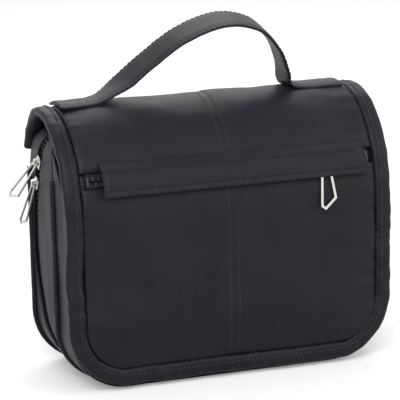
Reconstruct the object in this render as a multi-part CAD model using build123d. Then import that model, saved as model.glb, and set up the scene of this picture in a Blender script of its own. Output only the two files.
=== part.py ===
from build123d import *
import math
import os

# A soft toiletry bag: a main compartment closed by a long two-way zip, a front compartment with an
# open mouth, and a padded flap that covers both, with a zipped pocket, a placket and a carrying strap.
# Millimetres. X is the width, the front faces -Y, Z is up. The origin is on the floor below the middle.

# Main body
BODY_WIDTH = 244.0
BODY_TOP = 187.0            # highest point of the crowned top
BODY_WALL = 2.5             # fabric, foam and lining together
CORNER_BOTTOM = 42.0
CORNER_TOP = 20.0
CROWN_Y = 10.0              # depth at which the crown is highest
CROWN_Z = 130.0             # the walls stand straight up to here
CROWN_BACK = 40.0           # crown to back
CROWN_FRONT = 54.0
SECTION_GAP = 0.5           # seam between two fabric sections

# Front compartment
FRONT_FACE = -46.0
DIVIDER_Y = -16.0           # front face of the wall between the two compartments
MOUTH_FRONT_Z = 136.0
MOUTH_BACK_Z = 172.0

# Main zip: seen from the side its line is an arc, and it crosses the top
ZIP_LOW_Z = 22.0
ZIP_HIGH_Z = 186.0
ZIP_BOW_Y = 31.0            # how far back the arc bows
ZIP_END_Y = -4.0            # where the ends of the arc stand
TAPE_WIDTH = 11.0           # each half
TAPE_THICK = 0.5
TOOTH_REACH = 3.0           # across the zip
TOOTH_LENGTH = 2.0          # along the zip
TOOTH_HIGH = 1.6
TOOTH_PITCH = 4.0
STOP_SHORT = 1.6            # the end stops are this much narrower than both rows
ROW_GAP = 1.2               # between the two rows of teeth
SLOT_CLEAR = 0.9            # between the teeth and the fabric beside them
TOOTH_LIFT = 0.15           # seam thickness between the tape and the teeth

# Piping, a cord in a fabric tube along the two seams of the main compartment
PIPING_R = 2.0
PIPING_SUNK = 0.6           # its middle lies this far outside the body's fabric
PIPING_BACK_Y = 43.0
PIPING_TOP_Z = 150.0

# Boards and fasteners inside
BOARD_THICK = 1.6
BOARD_CLEAR = 0.3
BOARD_EDGE = 14.0           # how far the back board stays inside the walls
HOOK_WIDTH = 120.0
HOOK_HIGH = 25.0
HOOK_THICK = 0.9
HOOK_Z = 48.0

# Flap
FLAP_WIDTH = 250.0
FLAP_FRONT = 65.0           # half depth of the flap's front shoulder
FLAP_BACK = 47.0            # half depth of its rear shoulder
FLAP_RISE = 70.0            # from the straight walls to the ridge
FLAP_THICK = 7.5
FLAP_BOTTOM = 4.0
FLAP_CORNER = 45.0
FLAP_TAIL_Z = 166.0         # rear end, sewn to the back
TAIL_LAP = 10.0             # height of the seam that holds it
REAR_PRESS = 0.7            # the layers lie closer over the rear shoulder
BAND_WIDTH = 12.0
PANEL_THICK = 2.2
TAPE_DEPTH = 2.3
LINING_THICK = 1.3
PADDING_THICK = 1.4
POUCH_DEPTH = 3.1
POUCH_THICK = 1.1
POUCH_LOW_Z = 30.0
SEAM_GAP = 0.4

# Flap pocket, laid out on a plane that touches the flap's shoulder at the zip
POCKET_Z = 154.5
SLOT_HALF = 5.4             # half height of the opening
POCKET_HALF = 108.0
TEETH_END = 103.0
PLACKET_LEFT = -98.0
PLACKET_RIGHT = 107.0
PLACKET_SEAM = 12.5         # its seam, above the zip
PLACKET_DROP = 13.0         # its lower edge, below the zip
PLACKET_THICK = 1.2
PLACKET_SLANT = 6.0
PLACKET_ROOT = -0.8         # under side of its sewn edge
PLACKET_CLEAR = 0.3

# Sliders and pulls, alike on every zip
SLIDER_LENGTH = 9.5
SLIDER_NARROW = 6.4
SLIDER_WIDE = 8.4
PLATE_THICK = 1.1
BACK_PLATE_THICK = 0.9
SLIDER_CLEAR = 0.35
POST_LENGTH = 3.0
POST_THICK = 0.6
BRIDGE_HIGH = 3.4
BRIDGE_WIDE = 2.4
BRIDGE_LENGTH = 6.6
BRIDGE_WALL = 1.0
PULL_LENGTH = 37.0
PULL_TOP = 6.6
PULL_END = 13.0
PULL_SLANT = 8.0
PULL_RAIL = 1.8
PULL_THICK = 1.1
PIN_R = 0.6
PULL_LEAN = 7.0             # how far the pocket's pull leans in, degrees
UPPER_PULL_LIFT = 26.0      # how far the main pulls stand off, degrees
LOWER_PULL_LIFT = 12.0
UPPER_SLIDER_Z = 158.0
LOWER_SLIDER_Z = 141.0
POCKET_SLIDER_X = 73.0

# Handle
STRAP_WIDTH = 28.0
STRAP_THICK = 3.0
STRAP_SKIN = 0.6
STRAP_Y = 9.0
STRAP_LEFT = -80.0
STRAP_RIGHT = 67.0
STRAP_TOP = 257.0
STRAP_TOP_X = 12.0
STRAP_LEAN = 14.0           # degrees, to the front
STRAP_FORWARD = 31.0        # how far from upright it may lean, degrees
STRAP_BACKWARD = 21.0
TAB_THICK = 2.4
TAB_CLEAR = 0.3
TAB_LEFT_END = -111.0
TAB_RIGHT_END = 108.0

BIG = 400.0
RIDGE_Z = CROWN_Z + FLAP_RISE
BODY_BACK = CROWN_Y + CROWN_BACK
ARC_Z = (ZIP_LOW_Z + ZIP_HIGH_Z) / 2
ARC_HALF = (ZIP_HIGH_Z - ZIP_LOW_Z) / 2
ARC_SAG = ZIP_BOW_Y - ZIP_END_Y
ARC_R = (ARC_HALF**2 + ARC_SAG**2) / (2 * ARC_SAG)
ARC_Y = ZIP_BOW_Y - ARC_R
TEETH_HALF = ROW_GAP / 2 + TOOTH_REACH
ROOT_Z = RIDGE_Z + TAB_THICK + TAB_CLEAR


def front_view(sketch, y0, y1):
    """A sketch of the front view, made solid between two depths."""
    return extrude(Plane((0, y1, 0), x_dir=(1, 0, 0), z_dir=(0, -1, 0)) * sketch, amount=y1 - y0)


def side_view(sketch, x0=-BIG, x1=BIG):
    """A sketch of the side view, made solid between two places along the width."""
    return extrude(Plane((x0, 0, 0), x_dir=(0, 1, 0), z_dir=(1, 0, 0)) * sketch, amount=x1 - x0)


def block(x0=-BIG, x1=BIG, y0=-BIG, y1=BIG, z0=-BIG, z1=BIG):
    return Pos((x0 + x1) / 2, (y0 + y1) / 2, (z0 + z1) / 2) * Box(x1 - x0, y1 - y0, z1 - z0)


def rect(u0, u1, v0, v1):
    return Pos((u0 + u1) / 2, (v0 + v1) / 2) * Rectangle(u1 - u0, v1 - v0)


def outline(half, z0, z1, r_low, r_high):
    """A panel's front view with rounded corners; no upper radius leaves those corners square."""
    panel = rect(-half, half, z0, z1)
    if r_high > 0:
        panel = fillet(panel.vertices().group_by(Axis.Y)[-1], r_high)
    return fillet(panel.vertices().group_by(Axis.Y)[0], r_low)


def dome(a_front, a_back, rise, z_low):
    """Side view: straight walls, then two quarter ellipses that meet at the crown."""
    centre = Pos(CROWN_Y, CROWN_Z)
    front = centre * Ellipse(a_front, rise) & rect(-BIG, CROWN_Y, CROWN_Z, BIG)
    back = centre * Ellipse(a_back, rise) & rect(CROWN_Y, BIG, CROWN_Z, BIG)
    return rect(CROWN_Y - a_front, CROWN_Y + a_back, z_low, CROWN_Z) + front + back


def body_outline(inset):
    return outline(
        BODY_WIDTH / 2 - inset, inset, BODY_TOP - inset, CORNER_BOTTOM - inset, CORNER_TOP - inset
    )


def body_form(inset):
    """The main compartment's outer form, or the form that lies this far inside it."""
    rise = BODY_TOP - CROWN_Z - inset
    side = dome(CROWN_FRONT - inset, CROWN_BACK - inset, rise, inset)
    return side_view(side) & front_view(body_outline(inset), -BIG / 2, BIG / 2)


def zip_cylinder(radius):
    """The arc of the main zip, run through the whole width."""
    return side_view(Pos(ARC_Y, ARC_Z) * Circle(radius))


def body_pieces():
    """Fabric sections of the main compartment, parted by the zip's slot."""
    shell = (body_form(0) - body_form(BODY_WALL)) & block(y0=DIVIDER_Y)
    back_y = BODY_BACK - BODY_WALL
    divider_back = DIVIDER_Y + BODY_WALL
    walls = shell & block(y0=divider_back, y1=back_y)
    slot_half = TEETH_HALF + SLOT_CLEAR
    top_z = zip_height_at_top()
    top_x = side_reach(top_z) + TOOTH_PITCH
    top_y = zip_depth(top_z)
    crossing = block(-top_x, top_x, top_y - slot_half, top_y + slot_half, top_z - 3 * BODY_WALL)
    reach = block(y0=ARC_Y, z0=ZIP_LOW_Z)
    rear = walls - (zip_cylinder(ARC_R + slot_half) & reach) - crossing
    front = (walls & zip_cylinder(ARC_R - slot_half) & reach) - crossing
    return {
        "back_panel": shell & block(y0=back_y),
        "rear_gusset": rear.solids().sort_by(SortBy.VOLUME)[-1],
        "front_gusset": front.solids().sort_by(SortBy.VOLUME)[-1],
        "divider_panel": body_form(0) & block(y0=DIVIDER_Y, y1=divider_back),
    }


def pocket_side():
    """Side view of the front compartment, whose mouth slopes up to the divider."""
    points = ((FRONT_FACE, 0), (DIVIDER_Y, 0), (DIVIDER_Y, MOUTH_BACK_Z), (FRONT_FACE, MOUTH_FRONT_Z))
    return side_view(make_face(Polyline(*points, close=True)))


def front_pieces():
    inner_y = FRONT_FACE + BODY_WALL
    ring = body_outline(0) - body_outline(BODY_WALL)
    return {
        "front_panel": front_view(body_outline(0), FRONT_FACE, inner_y) & pocket_side(),
        "front_pocket_gusset": front_view(ring, inner_y, DIVIDER_Y) & pocket_side(),
    }


def piping(y):
    """A cord along the body's outline at one depth, cut flat where the bag stands on it."""
    wire = (Plane((0, y, 0), x_dir=(1, 0, 0), z_dir=(0, -1, 0)) * body_outline(-PIPING_SUNK)).wire()
    start = Plane(wire.position_at(0), z_dir=wire.tangent_at(0))
    cord = sweep(start * Circle(PIPING_R), path=wire)
    return (cord - front_view(body_outline(0), y - BIG / 2, y + BIG / 2)) & block(z0=0, z1=PIPING_TOP_Z)


def zip_height_at_top():
    """Where the zip's arc meets the domed top."""
    z = BODY_TOP
    for _ in range(40):
        y = zip_depth(z)
        z = CROWN_Z + (BODY_TOP - CROWN_Z) * math.sqrt(1 - ((y - CROWN_Y) / CROWN_FRONT) ** 2)
    return z


def zip_depth(z):
    return ARC_Y + math.sqrt(ARC_R**2 - (z - ARC_Z) ** 2)


def side_reach(z):
    """Half width of the body at a height."""
    flat = BODY_WIDTH / 2
    if z > BODY_TOP - CORNER_TOP:
        return flat - CORNER_TOP + math.sqrt(CORNER_TOP**2 - (z - BODY_TOP + CORNER_TOP) ** 2)
    if z < CORNER_BOTTOM:
        return flat - CORNER_BOTTOM + math.sqrt(CORNER_BOTTOM**2 - (CORNER_BOTTOM - z) ** 2)
    return flat


def zip_places():
    """Points along the zip at the pitch of its teeth, from low on the right to the middle of the top."""
    top_z = zip_height_at_top()
    step = 0.5
    line = []
    z = ZIP_LOW_Z + TOOTH_PITCH
    while z < top_z:
        line.append(Vector(side_reach(z), zip_depth(z), z))
        z += step
    x = side_reach(top_z) - step
    while x > 0:
        line.append(Vector(x, zip_depth(top_z), top_z))
        x -= step
    places = []
    travelled = 0.0
    for here, after in zip(line, line[1:]):
        if travelled >= TOOTH_PITCH * len(places):
            places.append((here, (after - here).normalized()))
        travelled += (after - here).length
    return places


def tooth_frame(point, along):
    """A plane on the tape: its X runs along the zip and its Z points out of the bag."""
    corner_x = BODY_WIDTH / 2 - CORNER_TOP
    low_x = BODY_WIDTH / 2 - CORNER_BOTTOM
    if point.Z > BODY_TOP - CORNER_TOP:
        out = Vector(max(point.X - corner_x, 0), 0, point.Z - BODY_TOP + CORNER_TOP)
        if abs(along.Z) < 0.01:
            dome_rise = (BODY_TOP - CROWN_Z) ** 2
            out = Vector(0, (point.Y - CROWN_Y) / CROWN_FRONT**2, (point.Z - CROWN_Z) / dome_rise)
    elif point.Z < CORNER_BOTTOM:
        out = Vector(point.X - low_x, 0, point.Z - CORNER_BOTTOM)
    else:
        out = Vector(1, 0, 0)
    out = (out - along * out.dot(along)).normalized()
    return Plane(point - out * (BODY_WALL - TOOTH_LIFT), x_dir=along, z_dir=out)


def tooth(side):
    """One tooth on its plane: a block that narrows towards the head."""
    low = ROW_GAP / 2
    head = TOOTH_LENGTH * 0.35
    foot = TOOTH_LENGTH / 2
    shape = Polyline(
        (-foot, low + TOOTH_REACH), (foot, low + TOOTH_REACH), (head, low), (-head, low), close=True
    )
    body = extrude(make_face(shape), amount=TOOTH_HIGH)
    return body if side > 0 else mirror(body, about=Plane.XZ)


def main_teeth():
    teeth = []
    for point, along in zip_places():
        frame = tooth_frame(point, along)
        for side in (1, -1):
            piece = frame * Pos(0.0 if side > 0 else TOOTH_PITCH / 2, 0, 0) * tooth(side)
            teeth.append(piece)
            teeth.append(mirror(piece, about=Plane.YZ))
    return Compound(children=teeth)


def main_tape():
    """Both halves of the zip's tape, just inside the fabric."""
    skin = body_form(BODY_WALL) - body_form(BODY_WALL + TAPE_THICK)
    wide = zip_cylinder(ARC_R + TAPE_WIDTH) - zip_cylinder(ARC_R - TAPE_WIDTH)
    gap = zip_cylinder(ARC_R + ROW_GAP / 2) - zip_cylinder(ARC_R - ROW_GAP / 2)
    return (skin & wide & block(y0=DIVIDER_Y + BODY_WALL, z0=ZIP_LOW_Z)) - (gap & block(y0=ARC_Y))


def main_stops():
    """A metal clip across both rows at each lower end of the zip."""
    z = ZIP_LOW_Z + TOOTH_PITCH / 2
    point = Vector(side_reach(z), zip_depth(z), z)
    above = Vector(side_reach(z + 1), zip_depth(z + 1), z + 1)
    frame = tooth_frame(point, (above - point).normalized())
    clip = frame * Pos(0, 0, TOOTH_HIGH / 2) * Box(TOOTH_LENGTH, 2 * TEETH_HALF - STOP_SHORT, TOOTH_HIGH)
    return Compound(children=[clip, mirror(clip, about=Plane.YZ)])


def slider(plate_z, back_z, bridge_turn=0):
    """Local frame: X along the zip with the wide nose at +X, Z out. Plates lie over and under the tape."""
    nose = SLIDER_LENGTH / 2
    tail = -SLIDER_LENGTH / 2
    shape = make_face(
        Polyline(
            (tail, SLIDER_NARROW / 2), (tail, -SLIDER_NARROW / 2), (nose * 0.4, -SLIDER_WIDE / 2),
            (nose, -SLIDER_WIDE / 4), (nose, SLIDER_WIDE / 4), (nose * 0.4, SLIDER_WIDE / 2), close=True,
        )
    )
    plate = Pos(0, 0, plate_z) * extrude(shape, amount=PLATE_THICK)
    plate = chamfer(plate.faces().sort_by(Axis.Z)[-1].edges(), 0.35)
    back = Pos(0, 0, back_z - BACK_PLATE_THICK) * extrude(shape, amount=BACK_PLATE_THICK)
    post_high = plate_z - back_z + 0.2
    post = Pos(0, 0, (plate_z + back_z) / 2) * Box(POST_LENGTH, POST_THICK, post_high)
    top_z = plate_z + PLATE_THICK
    arch = make_face(
        Polyline(
            (-BRIDGE_LENGTH / 2, -0.2), (-BRIDGE_LENGTH / 2 + BRIDGE_WALL, BRIDGE_HIGH),
            (BRIDGE_LENGTH / 2 - BRIDGE_WALL, BRIDGE_HIGH), (BRIDGE_LENGTH / 2, -0.2), close=True,
        )
    )
    window = rect(
        -BRIDGE_LENGTH / 2 + 1.6 * BRIDGE_WALL, BRIDGE_LENGTH / 2 - 1.6 * BRIDGE_WALL, 0,
        BRIDGE_HIGH - BRIDGE_WALL,
    )
    upright = Plane((0, BRIDGE_WIDE / 2, top_z), x_dir=(1, 0, 0), z_dir=(0, -1, 0))
    bridge = Rot(0, 0, bridge_turn) * extrude(upright * (arch - window), amount=BRIDGE_WIDE)
    return plate + back + post + bridge


def pull():
    """Local frame: the pin lies along Y at the origin and the frame runs down to -X, its thickness in Z."""
    half_top = PULL_TOP / 2
    half_end = PULL_END / 2
    outer = make_face(
        Polyline(
            (0, half_top), (0, -half_top), (-PULL_LENGTH + PULL_SLANT, -half_end),
            (-PULL_LENGTH, half_end * 0.45), (-PULL_LENGTH + PULL_SLANT * 0.35, half_end), close=True,
        )
    )
    frame = outer - offset(outer, -PULL_RAIL)
    bar = Pos(0, 0, -PULL_THICK / 2) * extrude(frame, amount=PULL_THICK)
    bar = bar - Pos(0, 0, 0) * Box(2 * PULL_RAIL + 2 * PIN_R, PULL_TOP - 2 * PULL_RAIL, 2 * PULL_THICK)
    pin = Rot(90, 0, 0) * Cylinder(PIN_R, PULL_TOP - PULL_RAIL)
    return bar + pin


def side_zip_frame(z):
    """The main zip's frame on the left side: X runs up along the zip and Z out of the bag."""
    angle = math.asin((z - ARC_Z) / ARC_R)
    point = (-BODY_WIDTH / 2, ARC_Y + ARC_R * math.cos(angle), ARC_Z + ARC_R * math.sin(angle))
    return Plane(point, x_dir=(0, -math.sin(angle), math.cos(angle)), z_dir=(-1, 0, 0))


def pull_pivot(plate_z):
    """Height of the pull's pin over the plane that the slider's plates are measured from."""
    return plate_z + PLATE_THICK + (BRIDGE_HIGH - BRIDGE_WALL) / 2


def main_slider_and_pull(z, lift):
    frame = side_zip_frame(z)
    plate_z = SLIDER_CLEAR
    back_z = -BODY_WALL - TAPE_THICK - SLIDER_CLEAR
    swung = frame * Pos(0, 0, pull_pivot(plate_z)) * Rot(0, lift, 0) * pull()
    return frame * slider(plate_z, back_z), swung


def flap_form(depth):
    """Side view of the flap's outer surface, or of the surface this deep below it."""
    return dome(FLAP_FRONT - depth, FLAP_BACK - REAR_PRESS * depth, FLAP_RISE - depth, -BIG / 2)


def flap_layer(depth, thick):
    side = flap_form(depth) - flap_form(depth + thick)
    keep = rect(-BIG, CROWN_Y, -BIG / 4, BIG) + rect(CROWN_Y - 1, BIG, FLAP_TAIL_Z, BIG)
    return side_view(side & keep)


def flap_outline(inset):
    return outline(FLAP_WIDTH / 2 - inset, FLAP_BOTTOM + inset, BIG / 2 + BIG / 4, FLAP_CORNER - inset, 0)


def flap_band():
    border = flap_outline(0) - flap_outline(BAND_WIDTH)
    return flap_layer(0, FLAP_THICK) & front_view(border, -BIG / 2, BIG / 2)


def inside_band(layer):
    return layer & front_view(flap_outline(BAND_WIDTH + SEAM_GAP), -BIG / 2, BIG / 2)


def pocket_frame():
    """X to the right, Y up along the flap's shoulder, Z out of the flap."""
    share = (POCKET_Z - CROWN_Z) / FLAP_RISE
    y = CROWN_Y - FLAP_FRONT * math.sqrt(1 - share**2)
    slope = FLAP_FRONT * share / (FLAP_RISE * math.sqrt(1 - share**2))
    return Plane((0, y, POCKET_Z), x_dir=(1, 0, 0), z_dir=(0, -1, slope))


def on_pocket(shape):
    return pocket_frame() * shape


def flap_panels():
    """Four fabric panels, parted by the centre seam and by the pocket's opening."""
    skin = inside_band(flap_layer(0, PANEL_THICK))
    opening = on_pocket(Box(2 * POCKET_HALF, 2 * SLOT_HALF, 4 * PANEL_THICK))
    ends = on_pocket(Box(2 * FLAP_WIDTH, SEAM_GAP, 4 * PANEL_THICK))
    over = on_pocket(Pos(0, BIG / 2, 0) * Box(2 * BIG, BIG, BIG))
    skin = skin - opening - ends
    upper = skin & over
    lower = skin - over
    left = block(x1=-SEAM_GAP / 2)
    right = block(x0=SEAM_GAP / 2)
    return {
        "flap_panel_upper_left": upper & left,
        "flap_panel_upper_right": upper & right,
        "flap_panel_lower_left": lower & left,
        "flap_panel_lower_right": lower & right,
    }


def pocket_zip():
    reach = TEETH_HALF + TAPE_WIDTH / 2
    strip = on_pocket(Box(2 * POCKET_HALF, 2 * reach, 8 * PANEL_THICK))
    middle = on_pocket(Box(3 * POCKET_HALF, ROW_GAP, 8 * PANEL_THICK))
    tape = (flap_layer(TAPE_DEPTH, TAPE_THICK) & strip) - middle
    teeth = []
    for index in range(int(2 * TEETH_END / TOOTH_PITCH) + 1):
        x = -TEETH_END + index * TOOTH_PITCH
        teeth.append(on_pocket(Pos(x, 0, -TAPE_DEPTH) * tooth(1)))
        teeth.append(on_pocket(Pos(x + TOOTH_PITCH / 2, 0, -TAPE_DEPTH) * tooth(-1)))
    stop_x = TEETH_END + TOOTH_PITCH / 2 + TOOTH_LENGTH
    clip = Pos(0, 0, -TAPE_DEPTH + TOOTH_HIGH / 2) * Box(TOOTH_LENGTH, 2 * TEETH_HALF, TOOTH_HIGH)
    stops = [on_pocket(Pos(x, 0, 0) * clip) for x in (-stop_x, stop_x)]
    return {
        "pocket_zip_tape": tape,
        "pocket_zip_teeth": Compound(children=teeth),
        "pocket_zip_stops": Compound(children=stops),
    }


def pocket_slider_and_pull():
    """The nose points right; the pull hangs down from the bridge, leaning in with the flap."""
    plate_z = -TAPE_DEPTH + TOOTH_HIGH + SLIDER_CLEAR + 0.1
    back_z = -TAPE_DEPTH - TAPE_THICK - SLIDER_CLEAR
    body = Pos(POCKET_SLIDER_X, 0, 0) * slider(plate_z, back_z, 90)
    hung = Pos(POCKET_SLIDER_X, 0, pull_pivot(plate_z)) * Rot(PULL_LEAN, 0, 0) * Rot(0, 0, 90) * pull()
    return on_pocket(body), on_pocket(hung)


def placket():
    """A loose strip sewn along its top edge; its right end is slanted."""
    plate_z = -TAPE_DEPTH + TOOTH_HIGH + SLIDER_CLEAR + 0.1
    inner = plate_z + PLATE_THICK + BRIDGE_HIGH + PLACKET_CLEAR
    outer = inner + PLACKET_THICK
    seam = PLACKET_SEAM
    turn = seam - 5.0
    side = make_face(
        Polyline(
            (-PLACKET_DROP, inner), (-PLACKET_DROP, outer), (turn, outer), (seam, PLACKET_ROOT + PLACKET_THICK),
            (seam, PLACKET_ROOT), (turn, inner), close=True,
        )
    )
    across = Plane((PLACKET_LEFT, 0, 0), x_dir=(0, 1, 0), z_dir=(1, 0, 0))
    strip = extrude(across * side, amount=PLACKET_RIGHT - PLACKET_LEFT)
    cut = make_face(
        Polyline(
            (PLACKET_RIGHT, -PLACKET_DROP - 1), (PLACKET_RIGHT + 1, -PLACKET_DROP - 1),
            (PLACKET_RIGHT + 1, seam + 1), (PLACKET_RIGHT - PLACKET_SLANT, seam + 1), close=True,
        )
    )
    return on_pocket(strip - Pos(0, 0, -BIG / 4) * extrude(cut, amount=BIG / 2))


def strap_line(z_lift):
    """The handle's middle line seen from the front."""
    points = (
        (STRAP_LEFT, ROOT_Z + z_lift), (STRAP_LEFT * 0.56, ROOT_Z + 27.0), (STRAP_TOP_X, STRAP_TOP),
        (STRAP_RIGHT * 0.8, STRAP_TOP - 18.0), (STRAP_RIGHT, ROOT_Z + z_lift),
    )
    return Spline(*points)


def strap_ribbon(thick, width):
    """A ribbon along the arch, centred on its depth."""
    face = trace(strap_line(0), thick)
    upright = Plane((0, STRAP_Y + width / 2, 0), x_dir=(1, 0, 0), z_dir=(0, -1, 0))
    return extrude(upright * face, amount=width)


def handle_pieces():
    """The arch leans to the front; its roots are pointed so that it can lean either way."""
    wedge = make_face(
        Polyline(
            (STRAP_Y, ROOT_Z),
            (STRAP_Y - BIG / 4, ROOT_Z + BIG / 4 * math.tan(math.radians(STRAP_FORWARD))),
            (STRAP_Y - BIG / 4, -BIG / 2), (STRAP_Y + BIG / 4, -BIG / 2),
            (STRAP_Y + BIG / 4, ROOT_Z + BIG / 4 * math.tan(math.radians(STRAP_BACKWARD))),
            close=True,
        )
    )
    cut = side_view(wedge)
    whole = strap_ribbon(STRAP_THICK, STRAP_WIDTH) - cut
    core = strap_ribbon(STRAP_THICK - 2 * STRAP_SKIN, STRAP_WIDTH - 4 * STRAP_SKIN) - cut
    root = Axis((0, STRAP_Y, ROOT_Z), (1, 0, 0))
    tabs = flap_layer(-TAB_THICK, TAB_THICK)
    band_y0 = STRAP_Y - STRAP_WIDTH / 2
    band_y1 = STRAP_Y + STRAP_WIDTH / 2
    left = tabs & block(x0=TAB_LEFT_END, x1=STRAP_LEFT + STRAP_THICK, y0=band_y0, y1=band_y1)
    right = tabs & block(x0=STRAP_RIGHT - STRAP_THICK, x1=TAB_RIGHT_END, y0=band_y0, y1=band_y1)
    return {
        "handle_strap": (whole - core).rotate(root, STRAP_LEAN),
        "handle_core": core.rotate(root, STRAP_LEAN),
        "handle_tab_left": left,
        "handle_tab_right": right,
    }


def boards():
    """A stiffening board inside the back and one on the main compartment's floor."""
    back = body_outline(BODY_WALL + BOARD_EDGE) & rect(-BIG, BIG, -BIG, CROWN_Z)
    y1 = BODY_BACK - BODY_WALL - BOARD_CLEAR
    z0 = BODY_WALL + BOARD_CLEAR
    half = BODY_WIDTH / 2 - CORNER_BOTTOM
    return {
        "back_board": front_view(back, y1 - BOARD_THICK, y1),
        "base_board": block(-half, half, DIVIDER_Y + 2 * BODY_WALL, y1 - BOARD_THICK - 2, z0, z0 + BOARD_THICK),
    }


def fasteners():
    """Hook strip on the front compartment and loop strip on the flap's lining."""
    hook_y = FRONT_FACE - HOOK_THICK
    loop_y = CROWN_Y - FLAP_FRONT + FLAP_THICK
    pair = {}
    pair["hook_strip"] = block(
        -HOOK_WIDTH / 2, HOOK_WIDTH / 2, hook_y, FRONT_FACE, HOOK_Z, HOOK_Z + HOOK_HIGH
    )
    pair["loop_strip"] = block(
        -HOOK_WIDTH / 2, HOOK_WIDTH / 2, loop_y, loop_y + 0.3, HOOK_Z, HOOK_Z + HOOK_HIGH
    )
    return pair


def flap_seam():
    """The sewn edge on the back that the flap's rear end rises from."""
    side = flap_form(1.0) & rect(CROWN_Y, BIG, FLAP_TAIL_Z - TAIL_LAP, FLAP_TAIL_Z - 0.3)
    inner = side_view(dome(CROWN_FRONT, CROWN_BACK, BODY_TOP - CROWN_Z, 0))
    half = BODY_WIDTH / 2 - CORNER_TOP
    return (side_view(side, -half, half) - inner) & block(x0=-half, x1=half)


def flap_inner():
    pouch = inside_band(flap_layer(POUCH_DEPTH, POUCH_THICK)) & block(z0=POUCH_LOW_Z, y1=CROWN_Y)
    pouch = pouch - on_pocket(Pos(0, BIG / 2 - SLOT_HALF, 0) * Box(2 * BIG, BIG, BIG))
    pad_depth = FLAP_THICK - LINING_THICK - PADDING_THICK - 0.1
    return {
        "flap_lining": inside_band(flap_layer(FLAP_THICK - LINING_THICK, LINING_THICK)),
        "flap_padding": inside_band(flap_layer(pad_depth, PADDING_THICK)),
        "pocket_pouch": pouch,
    }


if __name__ == "__main__":
    os.makedirs("parts", exist_ok=True)
    nodes = {**body_pieces(), **front_pieces(), **boards(), **fasteners()}
    nodes["rear_piping"] = piping(PIPING_BACK_Y)
    nodes["front_piping"] = piping(DIVIDER_Y)
    nodes["main_zip_tape"] = main_tape()
    nodes["main_zip_teeth"] = main_teeth()
    nodes["main_zip_stops"] = main_stops()
    nodes["flap_seam"] = flap_seam()
    nodes["flap_band"] = flap_band()
    nodes.update(flap_panels())
    nodes.update(flap_inner())
    nodes.update(pocket_zip())
    nodes.update(handle_pieces())
    nodes["placket"] = placket()
    nodes["pocket_slider"], nodes["pocket_pull"] = pocket_slider_and_pull()
    nodes["upper_slider"], nodes["upper_pull"] = main_slider_and_pull(UPPER_SLIDER_Z, UPPER_PULL_LIFT)
    nodes["lower_slider"], nodes["lower_pull"] = main_slider_and_pull(LOWER_SLIDER_Z, LOWER_PULL_LIFT)
    for name, shape in nodes.items():
        export_step(shape, f"parts/{name}.step")
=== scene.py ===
import bpy
import math
from bisect import bisect_left
from bpy.props import FloatProperty, PointerProperty, StringProperty
from mathutils import Matrix, Vector, noise


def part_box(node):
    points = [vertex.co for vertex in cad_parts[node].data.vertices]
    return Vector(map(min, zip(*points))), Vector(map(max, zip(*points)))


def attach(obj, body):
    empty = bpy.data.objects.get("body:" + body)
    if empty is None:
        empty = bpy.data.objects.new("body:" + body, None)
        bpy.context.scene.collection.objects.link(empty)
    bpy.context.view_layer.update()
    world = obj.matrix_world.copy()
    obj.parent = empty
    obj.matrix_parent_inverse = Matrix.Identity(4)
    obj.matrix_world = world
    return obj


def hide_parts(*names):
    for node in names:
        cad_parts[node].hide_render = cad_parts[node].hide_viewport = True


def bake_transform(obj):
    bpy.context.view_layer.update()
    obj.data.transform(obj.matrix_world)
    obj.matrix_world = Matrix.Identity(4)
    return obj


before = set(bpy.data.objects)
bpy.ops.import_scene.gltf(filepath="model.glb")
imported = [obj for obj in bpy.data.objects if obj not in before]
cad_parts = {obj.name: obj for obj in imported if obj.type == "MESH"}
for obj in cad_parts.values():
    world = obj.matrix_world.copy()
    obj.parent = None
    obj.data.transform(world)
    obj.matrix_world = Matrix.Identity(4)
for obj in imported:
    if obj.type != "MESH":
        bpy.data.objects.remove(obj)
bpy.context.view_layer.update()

bl_info = {
    "name": "Toiletry Bag",
    "version": (1, 0, 0),
    "blender": (4, 5, 0),
    "location": "View3D > Sidebar > Bag",
    "description": "Dresses a toiletry bag's frame with cloth, seams, stitches, zips and a strap",
    "category": "Object",
}

MM = 0.001

# Places taken from the frame
FLAP_LOW, FLAP_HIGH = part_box("flap_band")
FLAP_HALF = FLAP_HIGH[0]
FLAP_BOTTOM = FLAP_LOW[2]
FLAP_FACE = FLAP_LOW[1]
RIDGE_Z = FLAP_HIGH[2]
TAIL_Y = FLAP_HIGH[1]
TAIL_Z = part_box("flap_seam")[1][2]
PANEL_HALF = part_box("flap_panel_lower_right")[1][0]
RIDGE_Y = 10 * MM                     # where the flap is highest
SHOULDER_Z = 130 * MM                 # the front hangs straight below this
FLAP_REAR_HALF = 47 * MM              # half depth of the rear shoulder
FLAP_THICK = 7.5 * MM
FLAP_CORNER = 45 * MM
BAND_WIDTH = FLAP_HALF - PANEL_HALF
FLAP_BOTTOM_S = BAND_WIDTH            # where the covers start, along the flap
POCKET_Z = 154.5 * MM                 # height of the pocket's zip
PLACKET_SEAM = 12.5 * MM              # the placket's sewn edge, above the zip
PLACKET_DROP = 13.0 * MM              # its loose edge, below the zip
STITCH_WIDTH = 1.0 * MM               # drawn thicker than real thread, so that it shows
STITCH_HEIGHT = 0.84 * MM


def srgb(hex_colour):
    """sRGB hex to the linear colour that shaders take."""
    value = hex_colour.lstrip("#")
    out = []
    for index in (0, 2, 4):
        c = int(value[index:index + 2], 16) / 255
        out.append(c / 12.92 if c <= 0.04045 else ((c + 0.055) / 1.055) ** 2.4)
    return (*out, 1.0)


def smooth_step(low, high, value):
    share = min(max((value - low) / (high - low), 0.0), 1.0)
    return share * share * (3 - 2 * share)


def wave(x, y, z=0.0):
    """Smooth seeded noise between about -1 and 1."""
    return noise.noise(Vector((x, y, z)))


# The flap's side view, measured along its surface from the lower edge

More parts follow.
